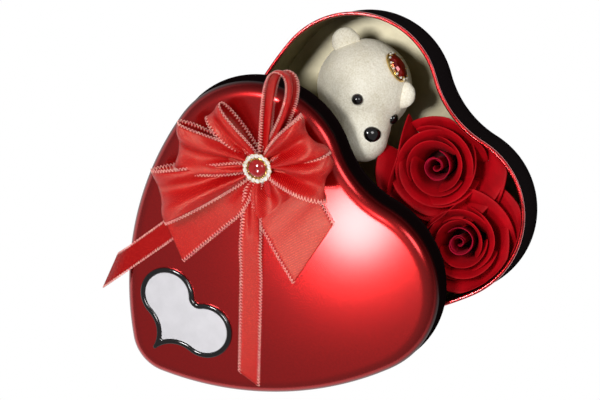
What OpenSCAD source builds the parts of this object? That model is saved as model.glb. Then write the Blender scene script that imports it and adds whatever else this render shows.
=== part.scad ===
/* [Tin] */
// Width of the base across its two lobes, over the rim
heart_w = 170; // [164:1:180]
// Length of the base from the top of the lobes to the tip
heart_l = 164.5; // [160:0.5:172]
// Radius of each lobe
lobe_r = 46.5; // [45:0.5:49]
// Radius of the rounded notch between the lobes
notch_r = 57; // [50:1:64]
// Radius of the long bowed sides
side_r = 169; // [156:1:182]
// Radius of the rounded tip
tip_r = 19; // [16:0.5:23]
// Height of the base, over the rim
base_h = 52; // [50:1:60]
// Height of the lid
lid_h = 20; // [18:0.5:22]
// Thickness of the tinplate
sheet_t = 0.6; // [0.4:0.1:1]
// Diameter of the rolled rim of the base
rim_d = 2; // [1.6:0.1:2.6]
// Diameter of the rolled edge of the lid
hem_d = 1.4; // [1.2:0.1:2]
// Clear gap between the rim of the base and the skirt of the lid
lid_gap = 3.5; // [1:0.5:4]
// Radius of the rounded shoulder of the lid
shoulder_r = 7.5; // [5:0.5:9]

/* [Lid as it lies] */
// How far the lid is moved towards the tip
lid_slip = 58.5; // [54:0.5:64]
// How far the lid is moved sideways
lid_side = 0.5; // [-3:0.5:3]
// Tilt of the lid, tip down
lid_tilt = 12.5; // [10:0.5:14]
// Tilt of the lid sideways, right lobe down
lid_roll = 5; // [0:0.5:6]
// Turn of the lid, seen from above
lid_turn = 1.5; // [0:0.5:3]

/* [Label] */
// Width of the label
label_w = 59; // [46:1:62]
// Length of the label
label_l = 44.5; // [38:0.5:46]
// Width of the label's raised edge
label_edge = 2.8; // [2:0.1:4]
// Height of the label's raised edge
label_h = 1.6; // [1.2:0.1:2.5]

/* [Ribbon] */
// Width of the wide ribbon
wide_w = 25; // [20:1:28]
// Width of the narrow ribbon
narrow_w = 10; // [7:1:12]
// Thickness of the ribbon
ribbon_t = 0.6; // [0.4:0.1:0.8]
// Reach of the bow's loops from the middle of the knot
bow_reach = 42; // [38:1:46]
// Height of the bow's loops above the knot's foot
loop_rise = 12; // [10:0.5:13]
// Length of the wide tails from the middle of the knot
tail_l = 70; // [62:1:74]
// Radius of the knot
knot_r = 6; // [5:0.5:6.5]
// Height of the knot
knot_h = 8; // [7:0.5:10]

/* [Brooch] */
// Diameter of the brooch over its stones
brooch_d = 17; // [14:1:20]
// Number of stones in its ring
stone_count = 18; // [12:1:18]
// Diameter of its red bead
bead_d = 10; // [8:0.5:11]

/* [Roses] */
// Height of a rose's cup
cup_h = 18; // [12:1:22]
// Height of the petals above the cup
petal_h = 34; // [26:1:34]
// Thickness of a petal
petal_t = 1; // [0.8:0.1:1.4]
// Radius of the top of a rose's cup
cup_r = 17; // [15:0.5:18]

/* [Bear] */
// Diameter of the head
head_d = 52; // [44:1:54]
// Length of the body
body_l = 62; // [50:1:64]
// Diameter of the body
body_d = 36; // [30:1:38]
// Diameter of an eye
eye_d = 6.5; // [5:0.5:8]
// Length of the oval gem
gem_l = 15; // [12:0.5:16]
// Width of the oval gem
gem_w = 9.5; // [8:0.5:11]

/* [Hidden] */
$fn = 144;

// How far a cutting shape runs past what it cuts
overrun = 1;
// Gap between pieces that rest on each other
rest_gap = 0.3;

// A heart is six arcs: two lobes, two bowed sides, the tip and the notch.
// It is held as [lobe x, lobe radius, notch radius, side radius, tip y, tip radius],
// with the lobes' centres on y = 0 and the tip towards -y.
function heart(w, l, lobe, notch, side, tip) = [w/2 - lobe, lobe, notch, side, lobe + tip - l, tip];
function lobe_at(h) = [h[0], 0];
function tip_at(h) = [0, h[4]];
function notch_at(h) = [0, sqrt(pow(h[1] + h[2], 2) - pow(h[0], 2))];
// The centre of the right-hand side arc, which touches the lobe and the tip from outside
function side_at(h) =
    let (
        across = tip_at(h) - lobe_at(h),
        reach = norm(across),
        to_lobe = h[3] - h[1],
        to_tip = h[3] - h[5],
        along = (pow(to_lobe, 2) - pow(to_tip, 2) + pow(reach, 2))/(2*reach),
        aside = sqrt(pow(to_lobe, 2) - pow(along, 2))
    )
    lobe_at(h) + along*across/reach - aside*[-across.y, across.x]/reach;
function turn_of(v) = atan2(v.y, v.x);
// Angles at which the arcs meet
function side_turn(h) = turn_of(lobe_at(h) - side_at(h));
function tip_turn(h) = turn_of(tip_at(h) - side_at(h));
function notch_turn(h) = turn_of(lobe_at(h) - notch_at(h));
function lobe_turn(h) = turn_of(notch_at(h) - lobe_at(h));
function on_arc(centre, r, a) = centre + r*[cos(a), sin(a)];
// Signed distance of a point from the heart's outline, less than zero inside
function heart_gap(h, at) =
    let (p = [abs(at.x), at.y], side = side_at(h))
    p.y > 0 && cross(lobe_at(h) - notch_at(h), p - notch_at(h)) < 0 ? h[2] - norm(p - notch_at(h)) :
    cross(lobe_at(h) - side, p - side) > 0 ? norm(p - lobe_at(h)) - h[1] :
    cross(tip_at(h) - side, p - side) > 0 ? norm(p - side) - h[3] :
    norm(p - tip_at(h)) - h[5];
// Points round an outline that lies d outside the heart, from the notch by the right to the tip
// and back by the left. The shares say how many of the steps each arc takes.
half_steps = 56;
arc_shares = [0.07, 0.43, 0.36, 0.14];
// How far it is along a turn from a place in the heart to its left side, moved out by a length
function reach_to_side(h, at, turn, out) =
    let (
        way = [cos(turn), sin(turn)],
        from_centre = at - [-side_at(h).x, side_at(h).y],
        along = from_centre*way
    )
    sqrt(along*along - from_centre*from_centre + pow(h[3] + out, 2)) - along;
function arc_steps(k) = round(half_steps*arc_shares[k]);
function arc(centre, r, from, to, steps) = [for (i = [0:steps - 1]) on_arc(centre, r, from + (to - from)*i/steps)];
function half_outline(h, d) = [
    each arc(notch_at(h), h[2] - d, -90, notch_turn(h), arc_steps(0)),
    each arc(lobe_at(h), h[1] + d, lobe_turn(h), side_turn(h), arc_steps(1)),
    each arc(side_at(h), h[3] + d, side_turn(h), tip_turn(h), arc_steps(2)),
    each arc(tip_at(h), h[5] + d, tip_turn(h), -90, arc_steps(3)),
    on_arc(tip_at(h), h[5] + d, -90)
];
function outline(h, d) =
    let (half = half_outline(h, d), n = len(half))
    concat(half, [for (i = [n - 2:-1:1]) [-half[i].x, half[i].y]]);

// A flared heart has sides that curve inwards to its tip. It is held in the same way,
// and the centre of each side's arc lies outside it.
function flare_at(h) =
    let (
        across = tip_at(h) - lobe_at(h),
        reach = norm(across),
        to_lobe = h[3] + h[1],
        to_tip = h[3] + h[5],
        along = (pow(to_lobe, 2) - pow(to_tip, 2) + pow(reach, 2))/(2*reach),
        aside = sqrt(pow(to_lobe, 2) - pow(along, 2))
    )
    lobe_at(h) + along*across/reach + aside*[-across.y, across.x]/reach;
// The flared heart that lies d inside another, with the same small round at its tip
function flare_in(h, d) =
    let (side = flare_at(h))
    [h[0], h[1] - d, h[2] + d, h[3] + d, side.y + sqrt(pow(h[3] + d + h[5], 2) - pow(side.x, 2)), h[5]];
function flare_outline(h) =
    let (
        side = flare_at(h),
        half = [
            each arc(notch_at(h), h[2], -90, notch_turn(h), arc_steps(0)),
            each arc(lobe_at(h), h[1], lobe_turn(h), turn_of(side - lobe_at(h)), arc_steps(1)),
            each arc(side, h[3], turn_of(lobe_at(h) - side), turn_of(side - tip_at(h)) + 180, arc_steps(2)),
            each arc(tip_at(h), h[5], turn_of(side - tip_at(h)), -90, arc_steps(3)),
            on_arc(tip_at(h), h[5], -90)
        ],
        n = len(half)
    )
    concat(half, [for (i = [n - 2:-1:1]) [-half[i].x, half[i].y]]);

// The flat area of a heart, d outside its outline
module heart_area(h, d) {
    polygon(outline(h, d));
}
// Carries a profile round the heart. Each of its points is [distance outside the outline, height].
function rings(h, profile) =
    let (lines = [for (p = profile) outline(h, p.x)])
    [for (i = [0:len(lines[0]) - 1]) for (j = [0:len(profile) - 1]) [lines[j][i].x, lines[j][i].y, profile[j].y]];
// Faces between neighbouring stations of n, each of m points. The last row joins the last point to the first.
function ring_faces(n, m, rows) = [
    for (i = [0:n - 1]) for (j = [0:rows - 1])
        let (here = i*m, next = ((i + 1) % n)*m, k = (j + 1) % m)
        [here + j, next + j, next + k, here + k]
];
// A closed profile carried round
module rim_sweep(h, profile) {
    points = rings(h, profile);
    m = len(profile);
    polyhedron(points, ring_faces(len(points)/m, m, m));
}
// A profile carried round and closed over the middle, from its first point to its last
module cover_sweep(h, profile, middle) {
    points = rings(h, profile);
    m = len(profile);
    n = len(points)/m;
    first = len(points);
    ends = [[middle.x, middle.y, profile[0].y], [middle.x, middle.y, profile[m - 1].y]];
    faces = concat(
        ring_faces(n, m, m - 1),
        [for (i = [0:n - 1]) [first, ((i + 1) % n)*m, i*m]],
        [for (i = [0:n - 1]) [first + 1, i*m + m - 1, ((i + 1) % n)*m + m - 1]]
    );
    polyhedron(concat(points, ends), faces);
}
// Points of an arc in a profile
function bend(centre, r, from, to, steps) = [for (i = [0:steps]) on_arc(centre, r, from + (to - from)*i/steps)];

tin = heart(heart_w, heart_l, lobe_r, notch_r, side_r, tip_r);
wall_out = -rim_d/4;
wall_in = wall_out - sheet_t;
skirt_in = lid_gap;
skirt_out = skirt_in + sheet_t;

// Where the lid comes to rest: each point of the base's rim either meets the lid's skirt
// or its panel, and the lid is lifted along its own upright until the highest one just clears
rim_line = outline(tin, -rim_d/2);
rim_parts = 8;
rim_points = [
    for (i = [0:len(rim_line) - 1]) for (k = [0:rim_parts - 1])
        rim_line[i] + (rim_line[(i + 1) % len(rim_line)] - rim_line[i])*k/rim_parts
];
function in_lid(p) =
    let (
        x = (p.x - lid_side)*cos(lid_turn) + (p.y + lid_slip)*sin(lid_turn),
        along = -(p.x - lid_side)*sin(lid_turn) + (p.y + lid_slip)*cos(lid_turn),
        y = along*cos(lid_tilt),
        z = -along*sin(lid_tilt)
    )
    [x*cos(lid_roll) - z*sin(lid_roll), y, x*sin(lid_roll) + z*cos(lid_roll)];
band = rim_d/2 + rest_gap;
lid_lift = rest_gap + max([
    for (p = rim_points)
        let (q = in_lid(p), out = heart_gap(tin, q))
        if (out < skirt_out + hem_d/2 + band)
            out > skirt_in - band ? q.z : q.z - (lid_h - sheet_t)
]);
module on_lid() {
    translate([lid_side, -lid_slip, base_h]) rotate([0, 0, lid_turn]) rotate([lid_tilt, 0, 0])
        rotate([0, lid_roll, 0]) translate([0, 0, lid_lift]) children();
}
module on_panel() {
    on_lid() translate([0, 0, lid_h]) children();
}
// Base: a pressed wall with a rolled rim, and its floor
floor_t = sheet_t;
rim_steps = 9;
module base_wall() color("#141012") {
    rim_r = rim_d/2;
    // The wall meets the rolled rim where their outlines cross
    out_turn = -acos(min((wall_out + rim_r)/rim_r, 1));
    in_turn = -180 + acos(min(-(wall_in + rim_r)/rim_r, 1));
    rim_sweep(tin, concat(
        [[wall_in, 0], [wall_out, 0]],
        bend([-rim_r, base_h - rim_r], rim_r, out_turn, in_turn + 360, rim_steps)
    ));
}
module base_floor() color("#c9bd8f") {
    linear_extrude(floor_t) heart_area(tin, wall_in);
}

// Lid: panel, rounded shoulder, skirt and rolled edge in one pressing
shoulder_x = skirt_out - shoulder_r;
shoulder_steps = 7;
hem_steps = 7;
module lid_shell() color("#c01822") on_lid() {
    hem_r = hem_d/2;
    shoulder_at = [shoulder_x, lid_h - shoulder_r];
    // The rolled edge starts where its outline leaves the skirt's outer face
    cover_sweep(tin, concat(
        bend(shoulder_at, shoulder_r, 90, 0, shoulder_steps),
        bend([skirt_out, hem_r], hem_r, 90, -180 + acos(min(sheet_t/hem_r, 1)), hem_steps),
        [[skirt_in, hem_d]],
        bend(shoulder_at, shoulder_r - sheet_t, 0, 90, shoulder_steps)
    ), [0, tin[4]/3]);
}

// Label near the tip of the lid
label_lobe_r = label_w*0.26;
label_tip_r = label_w*0.017;
// The sides' arcs are this much flatter than ones that would come down upright to the tip
label_flat_share = 1.24;
label_side_r = label_flat_share/(label_w - 2*label_tip_r)*(
    pow(label_w/2 - label_lobe_r - label_tip_r, 2) + pow(label_l - label_lobe_r - label_tip_r, 2)
    - pow(label_lobe_r, 2)
);
label = heart(label_w, label_l, label_lobe_r, label_w*0.05, label_side_r, label_tip_r);
label_in = flare_in(label, label_edge);
label_x = label_w*-0.071;
label_y = tin[4] - tip_r + shoulder_r - label[4] + label[5];
label_turn = 7.5;
module on_label() {
    on_panel() translate([label_x, label_y, 0]) rotate([0, 0, label_turn]) children();
}
module label_frame() color("#0d0b0c") on_label() {
    linear_extrude(label_h) difference() {
        polygon(flare_outline(label));
        polygon(flare_outline(label_in));
    }
}
module label_face() color("#f2f0f2") on_label() {
    linear_extrude(label_h/2) polygon(flare_outline(label_in));
}

// Ribbon strips: a row of stations, each [middle, half width along the side, half thickness]
function sheet_faces(n) = concat(
    [for (i = [0:n - 2]) for (k = [0:3]) [4*i + k, 4*i + (k + 1) % 4, 4*i + 4 + k]],
    [for (i = [0:n - 2]) for (k = [0:3]) [4*i + (k + 1) % 4, 4*i + 4 + (k + 1) % 4, 4*i + 4 + k]],
    [[0, 3, 2], [0, 2, 1], [4*n - 4, 4*n - 3, 4*n - 2], [4*n - 4, 4*n - 2, 4*n - 1]]
);
module strip(middles, halves, thickness) {
    n = len(middles);
    ways = [for (i = [0:n - 1]) middles[min(i + 1, n - 1)] - middles[max(i - 1, 0)]];
    ups = [for (i = [0:n - 1]) let (u = cross(ways[i], halves[i])) u/norm(u)*thickness/2];
    corners = [
        for (i = [0:n - 1])
            each [
                middles[i] + halves[i] + ups[i],
                middles[i] - halves[i] + ups[i],
                middles[i] - halves[i] - ups[i],
                middles[i] + halves[i] - ups[i]
            ]
    ];
    polyhedron(corners, sheet_faces(n));
}
knot_at = [-tin[0] - knot_r*0.25, lobe_r*0.215];
knot_seat = 0.2;
// The turn of the narrow left tail, and how far past the lid's edge it starts to droop
narrow_tail_turn = 267;
past_edge = 1.02;
gathered_w = 4;
ribbon_gap = 0.5;
layer = ribbon_t + ribbon_gap;
loop_steps = 20;
module from_knot(turn) {
    on_panel() translate([knot_at.x, knot_at.y, 0]) rotate([0, 0, turn]) children();
}
// A loop leaves the knot low, swells to its full width and comes back higher
module loop(turn, reach, width, rise) {
    low = rest_gap + 2*layer + ribbon_t/2;
    high = knot_h - 2*layer;
    start = knot_r + knot_seat;
    swell_shares = [0.8, 0.7, 2.2];
    stations = [
        for (i = [0:loop_steps])
            let (s = i/loop_steps, out = max(sin(180*s), 0))
            [start + (reach - start)*pow(out, swell_shares[0]),
             low + (high - low)*s + rise*max(sin(180*pow(s, swell_shares[2])), 0),
             gathered_w + (width - gathered_w)*pow(out, swell_shares[1])]
    ];
    from_knot(turn) strip([for (s = stations) [s.x, 0, s.y]], [for (s = stations) [0, s.z/2, 0]], ribbon_t);
}
// A tail lies along the lid. It runs a few layers up as far as what it crosses, then comes down
// to the lid. Its end is cut at a slant, and past the lid's edge it droops.
module tail(turn, reach, width, level, level_share, wave, slant, droop, edge_share) {
    start = knot_r + knot_seat;
    low = rest_gap + ribbon_t/2;
    fall_share = 0.15;
    stations = [
        for (i = [0:loop_steps])
            let (
                s = i/loop_steps,
                past = max(s - edge_share, 0)/(1 - edge_share),
                fall = min(max(s - level_share, 0)/fall_share, 1)
            )
            [start + (reach - start)*s,
             low + level*layer*(1 + cos(180*fall))/2 + wave*pow(sin(360*s), 2)*(1 - s) - droop*pow(past, 2),
             gathered_w + (width - gathered_w)*min(pow(sin(90*min(2.5*s, 1)), 0.8), 1)]
    ];
    from_knot(turn) strip(
        [for (s = stations) [s.x, 0, s.y]],
        [for (i = [0:loop_steps]) let (s = stations[i]) [slant*i/loop_steps, s.z/2, 0]],
        ribbon_t
    );
}
module bow_knot() color("#c8101e") from_knot(0) {
    round_r = knot_r/4;
    rotate_extrude() {
        translate([0, rest_gap]) square([knot_r - round_r, knot_h - rest_gap]);
        translate([0, rest_gap + round_r]) square([knot_r, knot_h - rest_gap - 2*round_r]);
        for (z = [rest_gap + round_r, knot_h - round_r]) translate([knot_r - round_r, z]) circle(round_r);
    }
}
module bow_loop_upper_left() color("#d41826") loop(204, bow_reach, wide_w, loop_rise);
module bow_loop_lower_left() color("#d41826") loop(248, bow_reach*1.43, wide_w, loop_rise);
module bow_loop_small() color("#d41826") loop(161, bow_reach*0.81, wide_w*0.6, loop_rise*0.75);
module bow_loop_upper_right() color("#d41826") loop(76, bow_reach*0.9, wide_w*0.84, loop_rise);
module bow_loop_lower_right() color("#d41826") loop(37, bow_reach, wide_w*0.84, loop_rise);
module bow_tail_left() color("#cc1420") tail(270, tail_l, wide_w, 1.2, 1.01, 0, wide_w*0.16, 0, 1.01);
module bow_tail_right() color("#cc1420") tail(346, tail_l*0.8, wide_w*1.2, 0, 1.01, ribbon_t*2, wide_w*-0.48, 0, 1.01);
module narrow_tail_left() color("#b80c18") {
    start = knot_r + knot_seat;
    reach = tail_l*1.73;
    droop_from = reach_to_side(tin, knot_at, narrow_tail_turn, lid_gap + sheet_t + past_edge);
    tail(narrow_tail_turn, reach, narrow_w, 0, 1.01, 0, narrow_w*0.9, narrow_w*0.8, (droop_from - start)/(reach - start));
}
module narrow_tail_straight() color("#d0202a") tail(314, tail_l*1.79, narrow_w, 2, 0.36, 0, narrow_w*0.3, 0, 1.01);
// A narrow loop that stands up and leans out over the lid's edge
module narrow_loop() color("#d41826") {
    start = knot_r + knot_seat;
    reach = bow_reach*1.48;
    rise = narrow_w*2.4;
    half_open = narrow_w*0.9;
    narrow_turn = 118;
    swell_shares = [0.9, 1.4, 0.1, 0.4, 0.8];
    stations = [
        for (i = [0:loop_steps])
            let (s = i/loop_steps, out = max(sin(180*s), 0))
            [
                start + (reach - start)*pow(out, swell_shares[0]),
                -half_open*sign(sin(360*s))*pow(abs(sin(360*s)), swell_shares[4]),
                rest_gap + 2*layer*(1 + s) + rise*pow(out, swell_shares[1])
            ]
    ];
    from_knot(narrow_turn) strip(
        stations,
        [for (i = [0:loop_steps]) let (s = i/loop_steps) [
            0,
            narrow_w*swell_shares[2]*pow(abs(cos(180*s)), 0.5) + gathered_w/4,
            narrow_w*swell_shares[3]*sin(180*s) + gathered_w/8
        ]],
        ribbon_t
    );
}

// Brooch on the knot
setting_h = 1.2;
module on_knot() {
    from_knot(0) translate([0, 0, knot_h]) children();
}
module brooch_setting() color("#c9a24a") on_knot() {
    cylinder(h = setting_h, d = brooch_d);
}
stone_row_r = (brooch_d + bead_d)/4;
stone_gap = 0.2;
stone_d = min((brooch_d - bead_d)/2, 2*PI*stone_row_r/stone_count) - stone_gap;
module brooch_stones() color("#f4ecd8") on_knot() translate([0, 0, setting_h]) {
    for (i = [0:stone_count - 1]) rotate([0, 0, 360*i/stone_count]) translate([stone_row_r, 0, 0]) {
        cylinder(h = stone_d/3, d = stone_d);
        translate([0, 0, stone_d/3]) cylinder(h = stone_d/4, d1 = stone_d, d2 = stone_d*0.55);
    }
}
module brooch_bead() color("#a8040c") on_knot() translate([0, 0, setting_h]) {
    bead_r = bead_d*0.6;
    edge_h = bead_d*0.04;
    sunk = sqrt(pow(bead_r, 2) - pow(bead_d/2, 2)) - edge_h;
    intersection() {
        translate([0, 0, -sunk]) sphere(bead_r);
        cylinder(h = bead_d, d = bead_d - stone_gap);
    }
}

// Bear. Each part is a plump closed form turned round its own length.
pod_steps = 18;
module pod(length, d, fat_share) {
    rotate_extrude() polygon([
        for (i = [0:pod_steps])
            let (s = i/pod_steps)
            [d/2*pow(max(sin(180*pow(s, fat_share)), 0), 0.62), length*s]
    ]);
}
// Lays a pod from one point towards another
module pod_from(at, yaw, pitch, length, d, fat_share) {
    translate(at) rotate([0, 0, yaw]) rotate([0, 90 - pitch, 0]) pod(length, d, fat_share);
}
head_r = head_d/2;
neck_share = 0.62;
hip_share = 0.72;
leg_share = 0.56;
body_turn = -80;
// The bear lies lengthwise, as far from the lobe as from the tip
bear_l = head_r*(1 + neck_share) + body_l*(hip_share + leg_share)*-sin(body_turn);
head_at = [-tin[0] - head_r*0.135, tin[4]*0.295 + bear_l/2 - head_r, floor_t + rest_gap + head_r];
// A direction from the head's middle: its turn seen from above, and how far it looks up
function aim(turn, up) = [cos(turn)*cos(up), sin(turn)*cos(up), sin(up)];
// Something on the skin of the head, upright there
module on_head(turn, up, out) {
    translate(head_at) rotate([0, 0, turn]) rotate([0, 90 - up, 0]) translate([0, 0, head_r + out]) children();
}
module head_form() {
    translate(head_at) sphere(head_r);
}
muzzle_d = head_r*1.04;
muzzle_l = head_r*1.5;
muzzle_turn = -33;
muzzle_up = 23;
module muzzle_form() {
    pod_from(head_at, muzzle_turn, muzzle_up, muzzle_l, muzzle_d, 1.5);
}
nose_d = head_r*0.38;
nose_turn = 34;
nose_up = 58;
module nose_form() {
    pod_from(
        head_at + muzzle_l*0.65*aim(muzzle_turn, muzzle_up) + (muzzle_d/2 - nose_d*0.36)*aim(nose_turn, nose_up),
        nose_turn, nose_up, nose_d*0.62, nose_d, 1
    );
}
module ear_form(turn, up) {
    ear_d = head_r*0.62;
    ear_t = head_r*0.3;
    on_head(turn, up, ear_d*0.12) rotate([90, 0, 0]) translate([0, 0, ear_t*-0.5]) pod(ear_t, ear_d, 1);
}
module eye_form(turn, up) {
    on_head(turn, up, -eye_d*0.64) pod(eye_d, eye_d, 1);
}
module body_form() {
    pod_from(body_top, body_turn, 0, body_l, body_d, 0.85);
}
body_top = [head_at.x + rest_gap, head_at.y - head_r*neck_share, floor_t + rest_gap + body_d/2];
module bear_head() color("#efe9dc") head_form();
module bear_muzzle() color("#f3eee2") difference() {
    muzzle_form();
    head_form();
}
module bear_nose() color("#0c0a0b") difference() {
    nose_form();
    muzzle_form();
    head_form();
}
module ear(turn, up) {
    difference() {
        ear_form(turn, up);
        head_form();
    }
}
module eye(turn, up) {
    difference() {
        eye_form(turn, up);
        head_form();
    }
}
module bear_ear_left() color("#efe9dc") ear(164, 14);
module bear_ear_right() color("#efe9dc") ear(43, 20);
module bear_eye_left() color("#0c0a0b") eye(-32, 76);
module bear_eye_right() color("#0c0a0b") eye(8, 20);
module bear_body() color("#ebe4d6") difference() {
    body_form();
    head_form();
}
limb_d = body_d*0.38;
limb_z = floor_t + rest_gap + limb_d*0.7;
module limb(along, across, yaw, length) {
    at = body_top + [body_l*along*cos(body_turn) + across, body_l*along*sin(body_turn), limb_z - body_top.z];
    difference() {
        pod_from(at, yaw, 0, length, limb_d, 0.8);
        body_form();
        head_form();
    }
}
module bear_arm_left() color("#efe9dc") limb(0.2, -body_d*0.4, -108, body_l*0.46);
module bear_arm_right() color("#efe9dc") limb(0.2, body_d*0.4, -62, body_l*0.46);
module bear_leg_left() color("#efe9dc") limb(hip_share, -body_d*0.16, -74, body_l*leg_share);
module bear_leg_right() color("#efe9dc") limb(hip_share, body_d*0.2, -55, body_l*leg_share);

// Gem clipped to the bear's head, on the side of the notch
gem_h = 4;
module on_gem() {
    on_head(82, 30, 0) rotate([0, 0, 90]) children();
}
// A flat oval of twelve corners
function oval_ring(l, w, z) = [for (i = [0:11]) [l/2*cos(30*i), w/2*sin(30*i), z]];
module cut_stone(rings) {
    n = len(rings[0]);
    faces = concat(
        [[for (i = [0:n - 1]) i]],
        [for (r = [0:len(rings) - 2]) for (i = [0:n - 1])
            [r*n + i, (r + 1)*n + i, (r + 1)*n + (i + 1) % n, r*n + (i + 1) % n]],
        [[for (i = [n - 1:-1:0]) (len(rings) - 1)*n + i]]
    );
    polyhedron([for (r = rings) each r], faces);
}
crystal_d = 1.6;
crystal_count = 14;
ledge_w = crystal_d + rest_gap;
module gem_setting() color("#b9b2a2") difference() {
    on_gem() translate([0, 0, -setting_h]) cut_stone([
        oval_ring(gem_l + 2*ledge_w, gem_w + 2*ledge_w, 0),
        oval_ring(gem_l + 2*ledge_w, gem_w + 2*ledge_w, 2*setting_h)
    ]);
    head_form();
}
module gem_stone() color("#8a0810") on_gem() translate([0, 0, setting_h]) cut_stone([
    oval_ring(gem_l - stone_gap, gem_w - stone_gap, 0),
    oval_ring(gem_l - stone_gap, gem_w - stone_gap, gem_h*0.3),
    oval_ring(gem_l*0.6, gem_w*0.6, gem_h)
]);
module gem_crystals() color("#f4f0e6") on_gem() {
    row_l = (gem_l + ledge_w)*0.49;
    row_w = (gem_w + ledge_w)*0.49;
    for (i = [0:crystal_count - 1])
        let (a = 360*(i + 0.5)/crystal_count)
        translate([row_l*cos(a), row_w*sin(a), setting_h]) cylinder(h = crystal_d*0.6, d = crystal_d);
}

// Roses: a cup, two inner rings of petals, an outer ring and a rolled bud
rose_a_at = [tin[0]*0.44, lobe_r*0.3];
rose_b_at = [tin[0] + lobe_r*0.4, 0];
rose_c_at = [tin[0]*0.52, -heart_l*0.353];
cup_low_share = 0.45;
petal_steps = 6;
top_steps = 20;
// The broad, round-cornered outline of a petal, seen from outside
function petal_outline(half_w, height) =
    let (square_share = 0.62)
    [
        [half_w, -overrun],
        for (i = [0:top_steps])
            let (a = 180*i/top_steps)
            [half_w*sign(cos(a))*pow(abs(cos(a)), square_share), height*0.3 + height*0.7*pow(sin(a), square_share)],
        [-half_w, -overrun]
    ];
// One petal is part of a leaning shell, cut to its outline
module petal(turn, span, foot, lip, height) {
    outer = [
        for (i = [0:petal_steps])
            let (s = i/petal_steps)
            [foot + (lip - foot)*(0.35*s + 0.65*pow(s, 2.2)), height*s]
    ];
    inner = [for (i = [petal_steps:-1:0]) outer[i] - [petal_t, 0]];
    rotate([0, 0, turn - span/2]) intersection() {
        rotate_extrude(angle = span) polygon(concat(outer, inner));
        rotate([0, 0, span/2]) rotate([90, 0, 90]) linear_extrude(lip + overrun)
            polygon(petal_outline(lip*sin(span/2), height));
    }
}
module on_cup(at) {
    translate([at.x, at.y, floor_t + rest_gap + cup_h]) children();
}
module cup(at) {
    translate([at.x, at.y, floor_t + rest_gap]) cylinder(h = cup_h, r1 = cup_r*cup_low_share, r2 = cup_r);
}
module outer_petals(at, turn, lip_shares) {
    count = len(lip_shares);
    span = 360/count - 5;
    on_cup(at) for (i = [0:count - 1]) petal(turn + 360*i/count, span, cup_r - petal_t, cup_r*lip_shares[i], petal_h*0.86);
}
module inner_petals(at, turn) {
    on_cup(at) {
        for (i = [0:2]) petal(turn + 120*i, 114, cup_r*0.56, cup_r*0.6, petal_h*0.97);
        for (i = [0:3]) petal(turn + 30 + 90*i, 84, cup_r*0.72, cup_r*0.86, petal_h*0.95);
    }
}
// How far each outer petal leans out, as a share of the cup's radius: less towards a neighbour
rose_a_shares = [1.59, 1.53, 1.47, 1.47, 1.18];
rose_b_shares = [1.47, 1.47, 1.18, 1.47, 1.47];
rose_c_shares = [1.41, 1.41, 1.18, 1.41, 1.41];
// The bud is one petal rolled up
module bud(at, turn) {
    rolls = 2.2;
    r_in = cup_r*0.08;
    r_out = cup_r*0.46;
    turns = [for (i = [0:36]) i/36];
    edge = [for (s = turns) (r_in + (r_out - r_in)*s)*[cos(turn + 360*rolls*s), sin(turn + 360*rolls*s)]];
    back = [for (i = [36:-1:0]) edge[i]*(1 - petal_t/norm(edge[i])*0.9)];
    on_cup(at) linear_extrude(petal_h*0.93) polygon(concat(edge, back));
}

base_wall();
base_floor();
lid_shell();
label_frame();
label_face();
bow_knot();
bow_loop_upper_left();
bow_loop_lower_left();
bow_loop_small();
bow_loop_upper_right();
bow_loop_lower_right();
bow_tail_left();
bow_tail_right();
narrow_tail_left();
narrow_tail_straight();
narrow_loop();
brooch_setting();
brooch_stones();
brooch_bead();
bear_head();
bear_muzzle();
bear_nose();
bear_ear_left();
bear_ear_right();
bear_eye_left();
bear_eye_right();
bear_body();
bear_arm_left();
bear_arm_right();
bear_leg_left();
bear_leg_right();
gem_setting();
gem_stone();
gem_crystals();
color("#5c0a12") cup(rose_a_at);  // rose_a_cup
color("#a00a1a") outer_petals(rose_a_at, 40, rose_a_shares);  // rose_a_outer_petals
color("#a00a1a") inner_petals(rose_a_at, 10);  // rose_a_inner_petals
color("#b01030") bud(rose_a_at, 0);  // rose_a_bud
color("#5c0a12") cup(rose_b_at);  // rose_b_cup
color("#a00a1a") outer_petals(rose_b_at, 18, rose_b_shares);  // rose_b_outer_petals
color("#a00a1a") inner_petals(rose_b_at, 55);  // rose_b_inner_petals
color("#b01030") bud(rose_b_at, 60);  // rose_b_bud
color("#5c0a12") cup(rose_c_at);  // rose_c_cup
color("#a00a1a") outer_petals(rose_c_at, 18, rose_c_shares);  // rose_c_outer_petals
color("#a00a1a") inner_petals(rose_c_at, 55);  // rose_c_inner_petals
color("#b01030") bud(rose_c_at, 60);  // rose_c_bud
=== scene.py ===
import math
import random

import bmesh
import bpy
from mathutils import Matrix, Vector, noise


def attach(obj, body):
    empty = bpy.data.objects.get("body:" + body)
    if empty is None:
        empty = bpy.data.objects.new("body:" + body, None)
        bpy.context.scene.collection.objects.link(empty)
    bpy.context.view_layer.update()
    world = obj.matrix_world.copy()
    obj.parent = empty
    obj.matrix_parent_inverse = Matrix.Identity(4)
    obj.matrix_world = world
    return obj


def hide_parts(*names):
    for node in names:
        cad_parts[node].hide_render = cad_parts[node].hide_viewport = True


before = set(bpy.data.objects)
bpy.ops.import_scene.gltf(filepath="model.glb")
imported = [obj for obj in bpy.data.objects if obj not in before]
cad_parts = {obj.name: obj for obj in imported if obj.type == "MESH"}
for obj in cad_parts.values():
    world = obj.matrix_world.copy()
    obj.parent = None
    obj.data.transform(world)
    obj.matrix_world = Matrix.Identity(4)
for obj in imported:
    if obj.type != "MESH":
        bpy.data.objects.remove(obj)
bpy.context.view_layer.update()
MM = 0.001
scene = bpy.context.scene


# Materials

def linear(code):
    """An sRGB hex colour as the linear one that a socket takes."""
    shares = [int(code[i:i + 2], 16)/255 for i in (1, 3, 5)]
    return [c/12.92 if c <= 0.04045 else ((c + 0.055)/1.055)**2.4 for c in shares] + [1]


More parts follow.
